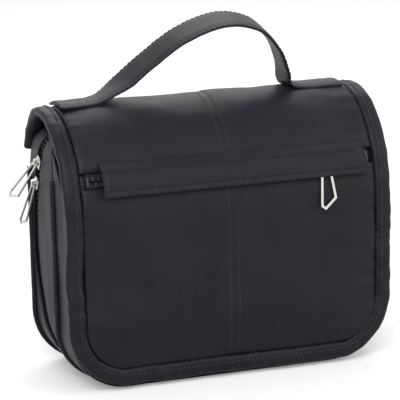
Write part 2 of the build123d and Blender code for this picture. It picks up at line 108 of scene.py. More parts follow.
def profile_line():
    points = []
    front_half = RIDGE_Y - FLAP_FACE
    rise = RIDGE_Z - SHOULDER_Z
    steps = 60
    for index in range(steps + 1):
        points.append((FLAP_FACE, FLAP_BOTTOM + (SHOULDER_Z - FLAP_BOTTOM) * index / steps))
    for index in range(1, steps + 1):
        turn = math.pi / 2 * index / steps
        points.append((RIDGE_Y - front_half * math.cos(turn), SHOULDER_Z + rise * math.sin(turn)))
    end = math.pi / 2 - math.asin((TAIL_Z - SHOULDER_Z) / rise)
    for index in range(1, steps + 1):
        turn = end * index / steps
        points.append((RIDGE_Y + FLAP_REAR_HALF * math.sin(turn), SHOULDER_Z + rise * math.cos(turn)))
    return points


PROFILE = profile_line()
PROFILE_S = [0.0]
for before, after in zip(PROFILE, PROFILE[1:]):
    PROFILE_S.append(PROFILE_S[-1] + math.dist(before, after))
FLAP_LENGTH = PROFILE_S[-1]


def along_profile(s):
    """Point and outward normal of the side view, this far from the flap's lower edge."""
    index = min(max(bisect_left(PROFILE_S, s), 1), len(PROFILE) - 1)
    (y0, z0), (y1, z1) = PROFILE[index - 1], PROFILE[index]
    share = (s - PROFILE_S[index - 1]) / (PROFILE_S[index] - PROFILE_S[index - 1])
    length = math.hypot(y1 - y0, z1 - z0)
    normal = (-(z1 - z0) / length, (y1 - y0) / length)
    return y0 + (y1 - y0) * share, z0 + (z1 - z0) * share, normal


def profile_at_height(z):
    """How far along the front a height lies."""
    for index, (_, height) in enumerate(PROFILE):
        if height >= z:
            return PROFILE_S[index]
    return FLAP_LENGTH


def flap_point(x, s, lift):
    """A place on the flap: across, along and above its surface, with the sag of a soft lower edge."""
    y, z, (ny, nz) = along_profile(s)
    loose = 1 - smooth_step(0, 90 * MM, s)
    lift += loose * 1.6 * MM * wave(x * 14, 3.1) + loose * 0.8 * MM * wave(x * 30, s * 30, 7.7)
    z += loose * 1.4 * MM * wave(x * 11, 9.4)
    lift += 0.9 * MM * wave(x * 17, s * 17, 1.3)
    return Vector((x, y + ny * lift, z + nz * lift))


def deselect_all():
    bpy.ops.object.select_all(action="DESELECT")


def only(piece):
    deselect_all()
    piece.select_set(True)
    bpy.context.view_layer.objects.active = piece


def apply(piece, kind, **settings):
    """Adds a modifier with its settings and applies it."""
    only(piece)
    modifier = piece.modifiers.new(kind.title(), kind)
    for key, value in settings.items():
        setattr(modifier, key, value)
    bpy.ops.object.modifier_apply(modifier=modifier.name)


def cloth_grid(name, across, along, place):
    """A grid whose points are placed by a function of two shares; its UV map is in metres."""
    deselect_all()
    bpy.ops.mesh.primitive_grid_add(x_subdivisions=across, y_subdivisions=along, size=2)
    piece = bpy.context.object
    piece.name = name
    flat = []
    for vertex in piece.data.vertices:
        u = (vertex.co.x + 1) / 2
        v = (vertex.co.y + 1) / 2
        vertex.co, where = place(u, v)
        flat.append(where)
    layer = piece.data.uv_layers.active
    for loop in piece.data.loops:
        layer.data[loop.index].uv = flat[loop.vertex_index]
    return piece


def finish(piece, body, material, replaced=()):
    only(piece)
    bpy.ops.object.shade_smooth()
    piece.data.materials.clear()
    piece.data.materials.append(material)
    if body:
        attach(piece, body)
    if replaced:
        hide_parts(*replaced)
    return piece


# Stitches

def stitch_row(points, outs, length, gap):
    """Places for stitches along a line of points: middle, direction and outward normal of each."""
    places = []
    wait = 0.0
    for before, after, out in zip(points, points[1:], outs):
        step = (after - before).length
        while wait < step:
            places.append((before.lerp(after, wait / step), (after - before).normalized(), out))
            wait += length + gap
        wait -= step
    return places


def sew(name, places, body, sizes):
    """One low ellipsoid of thread, copied to every place and joined."""
    deselect_all()
    bpy.ops.mesh.primitive_uv_sphere_add(segments=8, ring_count=5, radius=1)
    first = bpy.context.object
    first.data.transform(Matrix.Diagonal((sizes.stitch / 2, STITCH_WIDTH / 2, STITCH_HEIGHT / 2, 1)))
    copies = []
    for middle, along, out in places:
        aside = out.cross(along).normalized()
        turn = Matrix((along, aside, along.cross(aside))).transposed().to_4x4()
        stitch = first.copy()
        stitch.data = first.data.copy()
        stitch.data.transform(Matrix.Translation(middle) @ turn)
        bpy.context.collection.objects.link(stitch)
        copies.append(stitch)
    bpy.data.objects.remove(first)
    deselect_all()
    for stitch in copies:
        stitch.select_set(True)
    bpy.context.view_layer.objects.active = copies[0]
    bpy.ops.object.join()
    piece = bpy.context.object
    piece.name = name
    return finish(piece, body, MATERIALS["thread"])


def flap_row(place, length, gap):
    """A row along the flap, given a function of one share that returns x, s and lift."""
    points = []
    outs = []
    for index in range(241):
        x, s, lift = place(index / 240)
        points.append(flap_point(x, s, lift))
        normal = along_profile(s)[2]
        outs.append(Vector((0, normal[0], normal[1])))
    return stitch_row(points, outs, length, gap)


# Materials

def add_node(tree, kind, settings=None, **links):
    """Adds a node; settings are its attributes, and links its inputs by name, as values or sockets."""
    node = tree.nodes.new(kind)
    for key, value in (settings or {}).items():
        setattr(node, key, value)
    for key, value in links.items():
        socket = node.inputs[int(key[1:]) if key[0] == "i" and key[1:].isdigit() else key.replace("_", " ")]
        if isinstance(value, bpy.types.NodeSocket):
            tree.links.new(value, socket)
        else:
            socket.default_value = value
    return node


def blank_material(name):
    material = bpy.data.materials.new(name)
    material.use_nodes = True
    tree = material.node_tree
    tree.nodes.clear()
    out = add_node(tree, "ShaderNodeOutputMaterial")
    shader = add_node(tree, "ShaderNodeBsdfPrincipled")
    tree.links.new(shader.outputs[0], out.inputs[0])
    return material, tree, shader


def woven(name, dark, light, thread_mm, rough=0.44, sheen=0.04, bump=0.3, by_uv=True, specular=0.2):
    """Woven polyester microfibre: fine crossed threads, a dull satin gloss and a faint nap."""
    material, tree, shader = blank_material(name)
    coords = add_node(tree, "ShaderNodeTexCoord")
    place = coords.outputs["UV" if by_uv else "Object"]
    threads = 1 / (thread_mm * MM)
    pick = add_node(tree, "ShaderNodeMapping", i0=place, i3=(threads, threads, threads))
    warp = add_node(tree, "ShaderNodeTexWave", {"bands_direction": "X"}, i0=pick.outputs[0], Scale=0.31,
                    Distortion=0.6, Detail=1.0)
    weft = add_node(tree, "ShaderNodeTexWave", {"bands_direction": "Y" if by_uv else "Z"}, i0=pick.outputs[0],
                    Scale=0.31, Distortion=0.6, Detail=1.0)
    cross = add_node(tree, "ShaderNodeMath", {"operation": "MULTIPLY"}, i0=warp.outputs["Fac"],
                     i1=weft.outputs["Fac"])
    grain = add_node(tree, "ShaderNodeTexNoise", i0=pick.outputs[0], Scale=0.9, Detail=3.0)
    fibre = add_node(tree, "ShaderNodeMath", {"operation": "ADD"}, i0=cross.outputs[0],
                     i1=grain.outputs["Fac"])
    patches = add_node(tree, "ShaderNodeTexNoise", i0=place, Scale=28.0, Detail=4.0)
    mixed = add_node(tree, "ShaderNodeMath", {"operation": "MULTIPLY_ADD"}, i0=fibre.outputs[0], i1=0.4,
                     i2=patches.outputs["Fac"])
    ramp = add_node(tree, "ShaderNodeValToRGB", i0=mixed.outputs[0])
    ramp.color_ramp.elements[0].position = 0.45
    ramp.color_ramp.elements[0].color = srgb(dark)
    ramp.color_ramp.elements[1].position = 1.0
    ramp.color_ramp.elements[1].color = srgb(light)
    tree.links.new(ramp.outputs[0], shader.inputs["Base Color"])
    height = add_node(tree, "ShaderNodeBump", Strength=bump, Distance=0.3 * MM, Height=fibre.outputs[0])
    tree.links.new(height.outputs[0], shader.inputs["Normal"])
    shader.inputs["Roughness"].default_value = rough
    shader.inputs["Specular IOR Level"].default_value = specular
    shader.inputs["Sheen Weight"].default_value = sheen
    shader.inputs["Sheen Roughness"].default_value = 0.45
    shader.inputs["Sheen Tint"].default_value = srgb("#b9b6d0")
    return material


def nickel(name, colour):
    """Zinc die casting, barrel polished and nickel plated: bright, with faint tumbling marks."""
    material, tree, shader = blank_material(name)
    coords = add_node(tree, "ShaderNodeTexCoord")
    marks = add_node(tree, "ShaderNodeTexNoise", i0=coords.outputs["Object"], Scale=900.0, Detail=3.0)
    rough = add_node(tree, "ShaderNodeMapRange", i0=marks.outputs["Fac"], i3=0.12, i4=0.26)
    tree.links.new(rough.outputs[0], shader.inputs["Roughness"])
    height = add_node(tree, "ShaderNodeBump", Strength=0.06, Distance=0.1 * MM, Height=marks.outputs["Fac"])
    tree.links.new(height.outputs[0], shader.inputs["Normal"])
    shader.inputs["Base Color"].default_value = srgb(colour)
    shader.inputs["Metallic"].default_value = 1.0
    return material


def moulded(name, colour, rough=0.45):
    """Moulded acetal: a plain dark plastic with a slight mottle."""
    material, tree, shader = blank_material(name)
    coords = add_node(tree, "ShaderNodeTexCoord")
    mottle = add_node(tree, "ShaderNodeTexNoise", i0=coords.outputs["Object"], Scale=600.0)
    spread = add_node(tree, "ShaderNodeMapRange", i0=mottle.outputs["Fac"], i3=rough - 0.08, i4=rough + 0.08)
    tree.links.new(spread.outputs[0], shader.inputs["Roughness"])
    shader.inputs["Base Color"].default_value = srgb(colour)
    return material


class BagSizes(bpy.types.PropertyGroup):
    puff: FloatProperty(name="Puff", description="How far the flap's cloth crowns between its seams",
                        default=2.2 * MM, subtype="DISTANCE", unit="LENGTH")
    pucker: FloatProperty(name="Pucker", description="Height of the small folds along the border",
                          default=1.15 * MM, subtype="DISTANCE", unit="LENGTH")
    stitch: FloatProperty(name="Stitch", description="Length of one stitch", default=2.9 * MM,
                          subtype="DISTANCE", unit="LENGTH")
    stitch_gap: FloatProperty(name="Stitch gap", description="Space between two stitches",
                              default=0.9 * MM, subtype="DISTANCE", unit="LENGTH")


class BagColours(bpy.types.PropertyGroup):
    cloth_dark: StringProperty(name="Cloth, dark", description="sRGB hex of the threads' shaded side",
                               default="#09080d")
    cloth_light: StringProperty(name="Cloth, light", description="sRGB hex of the threads' lit side",
                                default="#17151f")
    thread: StringProperty(name="Thread", description="sRGB hex of the sewing thread", default="#1b1a1f")
    metal: StringProperty(name="Metal", description="sRGB hex of the nickel plate", default="#d9d6d0")


MATERIALS = {}


class BAG_OT_materials(bpy.types.Operator):
    """Makes the cloth, zip, metal and board finishes and puts them on the frame's own pieces"""
    bl_idname = "bag.materials"
    bl_label = "Materials"

    def execute(self, context):
        colours = context.scene.bag_colours
        dark = colours.cloth_dark
        light = colours.cloth_light
        # The real thread is 0.3 mm and too fine for the render, so it is drawn about 1 mm wide.
        MATERIALS["cloth"] = woven("woven_microfibre", dark, light, 1.1)
        MATERIALS["solid_cloth"] = woven("woven_microfibre_body", dark, light, 1.1, by_uv=False)
        MATERIALS["lining"] = woven("plain_woven_lining", "#0a090d", "#17161c", 0.9, 0.5, 0.15, 0.12)
        MATERIALS["tape"] = woven("ribbed_zip_tape", "#101013", "#1e1d22", 1.2, 0.75, 0.2, 0.5, False)
        MATERIALS["pile"] = woven("looped_nylon_pile", "#0b0b0d", "#18171b", 1.5, 0.95, 0.5, 0.9, False)
        MATERIALS["thread"] = woven("twisted_polyester_thread", colours.thread, "#35343c", 0.5, 0.5, 0.2,
                                    0.2, False)
        MATERIALS["metal"] = nickel("polished_nickel_plate", colours.metal)
        MATERIALS["teeth"] = moulded("moulded_acetal_teeth", "#17161a")
        MATERIALS["board"] = moulded("extruded_sheet_board", "#2c2c2e", 0.6)
        for name, finish_name in (
            ("main_zip_teeth", "teeth"), ("pocket_zip_teeth", "teeth"), ("main_zip_tape", "tape"),
            ("pocket_zip_tape", "tape"), ("main_zip_stops", "teeth"), ("pocket_zip_stops", "teeth"),
            ("upper_slider", "metal"), ("upper_pull", "metal"), ("lower_slider", "metal"),
            ("lower_pull", "metal"), ("pocket_slider", "metal"), ("pocket_pull", "metal"),
            ("hook_strip", "pile"), ("loop_strip", "pile"), ("back_board", "board"), ("base_board", "board"),
            ("flap_seam", "solid_cloth"),
        ):
            node = bpy.data.objects[name]
            node.data.materials.clear()
            node.data.materials.append(MATERIALS[finish_name])
        return {"FINISHED"}


# The flap's covers

POCKET_S = profile_at_height(POCKET_Z)
SLOT_HALF = 5.4 * MM
SEAM_HALF = 3.2 * MM                  # each stitched row's distance from the centre seam


def cover_lift(x, s, s_low, s_high, puff):
    """Crown between the seams, drawn in at the edges, with the centre seam's groove and soft dents."""
    side = (PANEL_HALF - abs(x)) / MM
    low = (s - s_low) / MM
    high = (s_high - s) / MM
    edge = min(side, low, high)
    draw = math.exp(-max(edge, 0) / 2.2)
    crown = smooth_step(0, 34, side) * smooth_step(0, 40, max(low, 0)) * smooth_step(0, 30, max(high, 0))
    centre = math.exp(-((x / SEAM_HALF) ** 2) * 0.9)
    rows = math.exp(-(((abs(x) - SEAM_HALF) / (0.8 * MM)) ** 2))
    dents = 2.1 * MM * wave(x * 22 + 4.2, s * 16, 2.0) * crown
    fine = 0.35 * MM * wave(x * 70, s * 70, 5.0) * smooth_step(0, 6, edge)
    pull = 0.8 * MM * wave(x * 8, s * 130, 8.8) * math.exp(-(side / 16) ** 2)
    return puff * crown - 1.9 * MM * draw - 0.5 * MM * centre - 0.45 * MM * rows + dents + fine + pull


def cover(name, s_low, s_high, columns, rows, replaced, puff):
    def place(u, v):
        x = (2 * u - 1) * PANEL_HALF
        s = s_low + (s_high - s_low) * v
        corner = FLAP_CORNER - BAND_WIDTH
        if s < FLAP_BOTTOM_S + corner:
            drop = FLAP_BOTTOM_S + corner - s
            reach = PANEL_HALF - corner + math.sqrt(max(corner**2 - drop**2, 0))
            x *= reach / PANEL_HALF
        lift = cover_lift(x * PANEL_HALF / max(abs(x), PANEL_HALF), s, s_low, s_high, puff)
        return flap_point(x, s, lift), (x, s)
    piece = cloth_grid(name, columns, rows, place)
    apply(piece, "SOLIDIFY", thickness=2.0 * MM, offset=-1.0)
    finish(piece, "flap", MATERIALS["cloth"], replaced)
    return piece


def seam_rows(s_low, s_high, puff, sizes):
    """The two rows beside the centre seam."""
    places = []
    for x in (-SEAM_HALF, SEAM_HALF):
        def place(share, x=x):
            s = s_low + (s_high - s_low) * share
            return x, s, cover_lift(x, s, s_low, s_high, puff) + 0.15 * MM
        places += flap_row(place, sizes.stitch, sizes.stitch_gap)
    return places


class BAG_OT_covers(bpy.types.Operator):
    """Makes the flap's lower and upper cloth covers"""
    bl_idname = "bag.covers"
    bl_label = "Flap covers"

    def execute(self, context):
        sizes = context.scene.bag_sizes
        puff = sizes.puff
        cover("flap_lower_cover", FLAP_BOTTOM_S, POCKET_S - SLOT_HALF, 170, 110,
              ("flap_panel_lower_left", "flap_panel_lower_right"), puff)
        cover("flap_upper_cover", POCKET_S + SLOT_HALF, FLAP_LENGTH, 150, 90,
              ("flap_panel_upper_left", "flap_panel_upper_right"), 0.4 * puff)
        places = seam_rows(FLAP_BOTTOM_S + 2 * MM, POCKET_S - SLOT_HALF - 2 * MM, puff, sizes)
        places += seam_rows(POCKET_S + 15 * MM, FLAP_LENGTH - 4 * MM, 0.4 * puff, sizes)
        sew("centre_seam_stitches", places, "flap", sizes)
        return {"FINISHED"}


def border_path():
    """The border's middle in the flat, from the left rear end round the lower edge to the right rear end."""
    inset = BAND_WIDTH / 2
    half = FLAP_HALF - inset
    corner = FLAP_CORNER - inset
    step = 2.2 * MM
    path = []
    length = FLAP_LENGTH - FLAP_CORNER
    count = int(length / step)
    for index in range(count):
        path.append((-half, FLAP_LENGTH - length * index / count, (-1, 0)))
    count = int(corner * math.pi / 2 / step)
    for index in range(count):
        turn = math.pi / 2 * index / count
        out = (-math.cos(turn), -math.sin(turn))
        path.append((-half + corner + corner * out[0], FLAP_CORNER + corner * out[1], out))
    count = int((half - corner) / step)
    for index in range(count):
        path.append((-(half - corner) * (1 - index / count), inset, (0, -1)))
    mirrored = [(-x, s, (-out[0], out[1])) for x, s, out in reversed(path)]
    return path + [(0.0, inset, (0, -1))] + mirrored


class BAG_OT_border(bpy.types.Operator):
    """Makes the puckered border round the flap's sides and lower edge"""
    bl_idname = "bag.border"
    bl_label = "Flap border"

    def execute(self, context):
        pucker = context.scene.bag_sizes.pucker
        path = border_path()
        distance = [0.0]
        for (x0, s0, _), (x1, s1, _) in zip(path, path[1:]):
            distance.append(distance[-1] + math.hypot(x1 - x0, s1 - s0))
        around = 20

        def place(u, v):
            index = min(int(round(v * (len(path) - 1))), len(path) - 1)
            x, s, out = path[index]
            turn = 2 * math.pi * u
            across = math.copysign(abs(math.cos(turn)) ** 0.75, math.cos(turn)) * BAND_WIDTH * 0.51
            high = math.copysign(abs(math.sin(turn)) ** 0.65, math.sin(turn)) * FLAP_THICK * 0.5
            travel = distance[index] / MM
            low_part = 1 - 0.6 * smooth_step(60 * MM, 170 * MM, s)
            ripple = wave(travel / 7.5, across * 60, 0.5) + 0.6 * wave(travel / 3.4, across * 90, 4.0)
            high += pucker * ripple * low_part * smooth_step(-0.5, 0.3, math.sin(turn))
            across += 0.5 * pucker * wave(travel / 9.0, 2.0) + 1.7 * MM * wave(travel / 38, 6.0) * low_part
            spine = math.exp(-((across / (1.3 * MM)) ** 2)) * 0.35 * MM * smooth_step(0, 0.5, math.sin(turn))
            where = flap_point(x + out[0] * across, s + out[1] * across, high - FLAP_THICK * 0.5 - spine)
            return where, (travel * MM, turn * 5 * MM)

        piece = cloth_grid("flap_border", around, len(path) - 1, place)
        merge_ring(piece)
        finish(piece, "flap", MATERIALS["cloth"], ("flap_band",))
        points = []
        outs = []
        for x, s, out in path:
            points.append(flap_point(x - out[0] * 1.6 * MM, s - out[1] * 1.6 * MM, 0.1 * MM))
            normal = along_profile(s)[2]
            outs.append(Vector((0, normal[0], normal[1])))
        sizes = context.scene.bag_sizes
        sew("flap_border_stitches", stitch_row(points, outs, sizes.stitch, sizes.stitch_gap), "flap", sizes)
        return {"FINISHED"}


def merge_ring(piece):
    """Closes a tube's seam and both its ends."""
    only(piece)
    bpy.ops.object.mode_set(mode="EDIT")
    bpy.ops.mesh.select_all(action="SELECT")
    bpy.ops.mesh.remove_doubles(threshold=0.01 * MM)
    bpy.ops.mesh.select_all(action="DESELECT")
    bpy.ops.mesh.select_mode(type="EDGE")
    bpy.ops.mesh.select_non_manifold()
    bpy.ops.mesh.fill_holes(sides=0)
    bpy.ops.mesh.select_all(action="SELECT")
    bpy.ops.mesh.normals_make_consistent(inside=False)
    bpy.ops.object.mode_set(mode="OBJECT")


class BAG_OT_lining(bpy.types.Operator):
    """Makes the flap's lining cloth and hides the frame's lining, padding and pocket pouch"""
    bl_idname = "bag.lining"
    bl_label = "Flap lining"

    def execute(self, context):
        def place(u, v):
            s = FLAP_BOTTOM_S + (FLAP_LENGTH - FLAP_BOTTOM_S) * v
            x = (2 * u - 1) * PANEL_HALF
            corner = FLAP_CORNER - BAND_WIDTH
            if s < FLAP_BOTTOM_S + corner:
                drop = FLAP_BOTTOM_S + corner - s
                x *= (PANEL_HALF - corner + math.sqrt(max(corner**2 - drop**2, 0))) / PANEL_HALF
            quilt = 0.5 * MM * wave(x * 40, s * 40, 3.3)
            return flap_point(x, s, quilt - FLAP_THICK + 2.6 * MM), (x, s)

        piece = cloth_grid("flap_lining_cloth", 60, 90, place)
        apply(piece, "SOLIDIFY", thickness=2.2 * MM, offset=-1.0)
        finish(piece, "flap", MATERIALS["lining"], ("flap_lining", "flap_padding", "pocket_pouch"))
        return {"FINISHED"}


class BAG_OT_placket(bpy.types.Operator):
    """Makes the loose strip over the pocket's zip"""
    bl_idname = "bag.placket"
    bl_label = "Placket"

    def execute(self, context):
        low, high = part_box("placket")
        left = low[0]
        right = high[0]
        slant = 6 * MM
        seam_s = POCKET_S + PLACKET_SEAM
        drop_s = POCKET_S - PLACKET_DROP

        def place(u, v):
            s = drop_s + (seam_s - drop_s) * v
            x = left + (right - left - slant * v) * u
            lift = (5.2 - 5.6 * smooth_step(0.55, 1.0, v)) * MM
            lift += 0.3 * MM * wave(x * 30, 1.7) * (1 - v)
            lift += 0.3 * MM * wave(x * 75, s * 60, 2.4)
            edge = min(u * (right - left), (1 - u) * (right - left), v * (seam_s - drop_s)) / MM
            lift -= 0.5 * MM * math.exp(-((edge - 3.0) / 0.9) ** 2)
            return flap_point(x, s, lift), (x, s)

        piece = cloth_grid("pocket_placket", 190, 26, place)
        apply(piece, "SOLIDIFY", thickness=1.5 * MM, offset=1.0)
        apply(piece, "BEVEL", width=0.5 * MM, segments=2)
        finish(piece, "placket", MATERIALS["cloth"], ("placket",))
        inset = 3.0 * MM

        def on_strip(x, s):
            v = (s - drop_s) / (seam_s - drop_s)
            u = (x - left) / (right - left - slant * v)
            return place(u, v)[0] + Vector((0, -1.6 * MM, 0.4 * MM))

        corners = ((left + inset, seam_s - inset), (left + inset, drop_s + inset),
                   (right - inset, drop_s + inset), (right - slant - inset, seam_s - inset))
        points = []
        for (x0, s0), (x1, s1) in zip(corners, corners[1:]):
            points += [on_strip(x0 + (x1 - x0) * i / 80, s0 + (s1 - s0) * i / 80) for i in range(80)]
        out = Vector((0, -0.95, 0.31))
        sizes = context.scene.bag_sizes
        places = stitch_row(points, [out] * len(points), sizes.stitch, sizes.stitch_gap)
        sew("placket_stitches", places, "placket", sizes)
        return {"FINISHED"}


# The two compartments, laid out on the body's front view and its domed side view

BODY_LOW, BODY_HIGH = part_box("rear_gusset")
BODY_HALF = BODY_HIGH[0]
BODY_TOP = BODY_HIGH[2]
BODY_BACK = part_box("back_panel")[1][1]
BODY_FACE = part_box("front_panel")[0][1]
DIVIDER_LOW, DIVIDER_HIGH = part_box("divider_panel")
LOW_CORNER = 42 * MM
HIGH_CORNER = 20 * MM
DOME_FRONT = 54 * MM                  # half depth of the domed top in front of its highest line
MOUTH_FRONT_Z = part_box("front_panel")[1][2] - 3 * MM
MOUTH_BACK_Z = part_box("front_pocket_gusset")[1][2]
ZIP_LOW_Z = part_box("front_gusset")[0][2]
ZIP_R = 113.6 * MM
ZIP_Y = -82.6 * MM
ZIP_Z = 104 * MM
ZIP_HALF = 4.7 * MM


def dome_height(y):
    half = DOME_FRONT if y < RIDGE_Y else BODY_BACK - RIDGE_Y
    share = min(abs(y - RIDGE_Y) / half, 0.9999)
    return SHOULDER_Z + (BODY_TOP - SHOULDER_Z) * math.sqrt(1 - share**2)


def back_depth(z):
    if z < SHOULDER_Z:
        return BODY_BACK
    share = min((z - SHOULDER_Z) / (BODY_TOP - SHOULDER_Z), 1.0)
    return RIDGE_Y + (BODY_BACK - RIDGE_Y) * math.sqrt(1 - share**2)


def zip_depth(z):
    return ZIP_Y + math.sqrt(max(ZIP_R**2 - (z - ZIP_Z) ** 2, 0))


def outline_line(top, high_corner):
    """Half of the body's front view, from the middle of the floor up the right side to the top."""
    points = []
    step = 3 * MM
    flat = BODY_HALF - LOW_CORNER
    points += [(flat * index / int(flat / step), 0.0) for index in range(int(flat / step))]
    count = int(LOW_CORNER * math.pi / 2 / step)
    for index in range(count):
        turn = math.pi / 2 * index / count
        points.append((flat + LOW_CORNER * math.sin(turn), LOW_CORNER - LOW_CORNER * math.cos(turn)))
    high = top - high_corner
    count = int((high - LOW_CORNER) / step)
    points += [(BODY_HALF, LOW_CORNER + (high - LOW_CORNER) * index / count) for index in range(count + 1)]
    if high_corner > 0:
        count = int(high_corner * math.pi / 2 / step)
        for index in range(1, count + 1):
            turn = math.pi / 2 * index / count
            inner = BODY_HALF - high_corner
            points.append((inner + high_corner * math.cos(turn), high + high_corner * math.sin(turn)))
        count = int((BODY_HALF - high_corner) / step)
        inner = BODY_HALF - high_corner
        points += [(inner * (1 - index / count), top) for index in range(1, count + 1)]
    return points


def closed_loop(points):
    """The whole outline, from the middle of the floor round to the same place."""
    return points + [(-x, z) for x, z in reversed(points)]


def open_loop(points):
    """The outline from its left top end down, along the floor and up to its right top end."""
    return [(-x, z) for x, z in reversed(points)] + points[1:]


def body_cloth(name, line, rows, place, folds, rounds, material, nodes, inner):
    """A skin on an outline, rounded, given its folds and then its thickness."""
    def at(u, v):
        index = min(int(round(u * (len(line) - 1))), len(line) - 1)
        x, z = line[index]
        where, across = place(x, z, v)
        return where, (index * 3 * MM, across)

    piece = cloth_grid(name, len(line) - 1, rows, at)
    only(piece)
    bpy.ops.object.mode_set(mode="EDIT")
    bpy.ops.mesh.select_all(action="SELECT")
    bpy.ops.mesh.remove_doubles(threshold=0.02 * MM)
    bpy.ops.mesh.normals_make_consistent(inside=inner)
    bpy.ops.object.mode_set(mode="OBJECT")
    apply(piece, "SMOOTH", factor=0.5, iterations=rounds)
    apply(piece, "SUBSURF", levels=1, render_levels=1)
    normals = [vertex.normal.copy() for vertex in piece.data.vertices]
    for vertex, normal in zip(piece.data.vertices, normals):
        vertex.co += normal * folds(vertex.co)
        vertex.co.z = max(vertex.co.z, 0.0)
    apply(piece, "SOLIDIFY", thickness=1.8 * MM, offset=-1.0)
    return finish(piece, "bag", material, nodes)


def body_folds(p):
    """Slow swells and finer creases, alike all over the cloth."""
    slow = 0.9 * MM * wave(p.x * 18, p.y * 26, p.z * 16)
    creases = 0.5 * MM * wave(p.x * 30 + 5, p.y * 90, p.z * 34)
    return slow + creases


class BAG_OT_body(bpy.types.Operator):
    """Makes the main compartment's sections and the front compartment"""
    bl_idname = "bag.body"
    bl_label = "Body"

    def execute(self, context):
        cloth = MATERIALS["cloth"]
        loop = closed_loop(outline_line(BODY_TOP, HIGH_CORNER))
        divider_back = DIVIDER_HIGH[1]
        centre_z = 95 * MM
        turn_at = 0.42

        def rear(x, z, v):
            zip_line = zip_depth(z) + ZIP_HALF
            start = divider_back + (zip_line - divider_back) * smooth_step(ZIP_LOW_Z - 7 * MM, ZIP_LOW_Z, z)
            end = back_depth(min(z, BODY_TOP))
            start = min(start, end - 1 * MM)
            if v <= turn_at:
                y = start + (end - start) * v / turn_at
                return Vector((x, y, min(z, dome_height(y)))), y
            shrink = 1 - (v - turn_at) / (1 - turn_at)
            high = centre_z + (min(z, BODY_TOP - 0.2 * MM) - centre_z) * shrink
            return Vector((x * shrink, back_depth(high), high)), end + (1 - shrink) * 0.1

        def rear_folds(p):
            edge = 1.2 * MM * math.exp(-(((p.y - zip_depth(p.z) - ZIP_HALF) / (2.5 * MM)) ** 2))
            inner = smooth_step(0, 60 * MM, BODY_HALF - abs(p.x))
            bulge = 1.6 * MM * inner * smooth_step(40 * MM, 50 * MM, p.y)
            return body_folds(p) + (edge if p.z > ZIP_LOW_Z else 0) + bulge

        body_cloth("rear_section_cloth", loop, 44, rear, rear_folds, 4, cloth,
                   ("rear_gusset", "back_panel", "back_board", "base_board"), False)

        upper = [(x, z) for x, z in outline_line(BODY_TOP, HIGH_CORNER) if z >= ZIP_LOW_Z]
        strip_line = upper + [(-x, z) for x, z in reversed(upper[:-1])]

        def strip(x, z, v):
            start = divider_back
            end = zip_depth(z) - ZIP_HALF
            y = start + (end - start) * v
            return Vector((x, y, min(z, dome_height(y)))), y

        body_cloth("zip_strip_cloth", strip_line, 14, strip, body_folds, 2, cloth,
                   ("front_gusset",), False)

        def divider(x, z, v):
            shrink = 1 - v
            high = centre_z + (min(z, dome_height(DIVIDER_LOW[1]) - 0.2 * MM) - centre_z) * shrink
            return Vector((x * shrink * 0.995, DIVIDER_LOW[1], high)), v * 0.1

        body_cloth("divider_cloth", loop, 20, divider, lambda p: 0.3 * MM * wave(p.x * 25, 1, p.z * 25), 0,
                   MATERIALS["lining"], ("divider_panel",), True)

        front_line = open_loop(outline_line(MOUTH_FRONT_Z, 0))
        turn = 0.4

        def front(x, z, v):
            if v <= turn:
                y = DIVIDER_LOW[1] + (BODY_FACE - DIVIDER_LOW[1]) * v / turn
                back = 1 - v / turn
                rise = (MOUTH_BACK_Z - MOUTH_FRONT_Z) * back
                high = z + rise * smooth_step(LOW_CORNER, MOUTH_FRONT_Z, z)
                return Vector((x, y, high)), y
            shrink = 1 - (v - turn) / (1 - turn)
            return Vector((x * shrink, BODY_FACE, MOUTH_FRONT_Z + (z - MOUTH_FRONT_Z) * shrink)), v * 0.1

        def front_folds(p):
            side = smooth_step(-46 * MM, -30 * MM, p.y) * wave(p.y * 60, p.z * 20)
            return 0.6 * body_folds(p) + 0.8 * MM * side

        body_cloth("front_section_cloth", front_line, 40, front, front_folds, 2, cloth,
                   ("front_panel", "front_pocket_gusset"), False)
        return {"FINISHED"}


class BAG_OT_piping(bpy.types.Operator):
    """Makes the piping on both seams of the main compartment"""
    bl_idname = "bag.piping"
    bl_label = "Piping"

    def execute(self, context):
        corner = LOW_CORNER
        for name in ("rear_piping", "front_piping"):
            seat_low, seat_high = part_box(name)
            y = (seat_low[1] + seat_high[1]) / 2
            radius = (seat_high[1] - seat_low[1]) / 2
            half = seat_high[0] - radius
            top = seat_high[2]
            path = []
            step = 2.5 * MM
            count = int((top - corner) / step)
            for index in range(count):
                path.append((-half, top - (top - corner) * index / count))
            count = int(corner * math.pi / 2 / step)
            for index in range(count):
                turn = math.pi / 2 * index / count
                path.append((-half + corner - corner * math.cos(turn), corner - corner * math.sin(turn)))
            side = [(x, max(z, radius)) for x, z in path]
            bottom_x = -half + corner
            count = int(2 * -bottom_x / step)
            floor = [(bottom_x - 2 * bottom_x * index / count, radius) for index in range(count + 1)]
            line = side + floor + [(-x, z) for x, z in reversed(side)]

            def place(u, v, line=line, y=y, radius=radius, step=step):
                index = min(int(round(v * (len(line) - 1))), len(line) - 1)
                x, z = line[index]
                ahead = line[min(index + 1, len(line) - 1)]
                behind = line[max(index - 1, 0)]
                along = Vector((ahead[0] - behind[0], 0, ahead[1] - behind[1])).normalized()
                out = Vector((-along.z, 0, along.x))
                out = -out if out.dot(Vector((x, 0, z - 90 * MM))) < 0 else out
                turn = 2 * math.pi * u
                fat = radius * (1 + 0.10 * wave(index * 0.8, u * 3, y * 100))
                where = Vector((x, y, z)) + out * math.cos(turn) * fat
                where.y += math.sin(turn) * fat
                where.z = max(where.z, 0.1 * MM)
                return where, (index * step, turn * radius)

            piece = cloth_grid(name + "_cloth", 12, len(line) - 1, place)
            merge_ring(piece)
            finish(piece, "bag", MATERIALS["cloth"], (name,))
        return {"FINISHED"}


# Handle

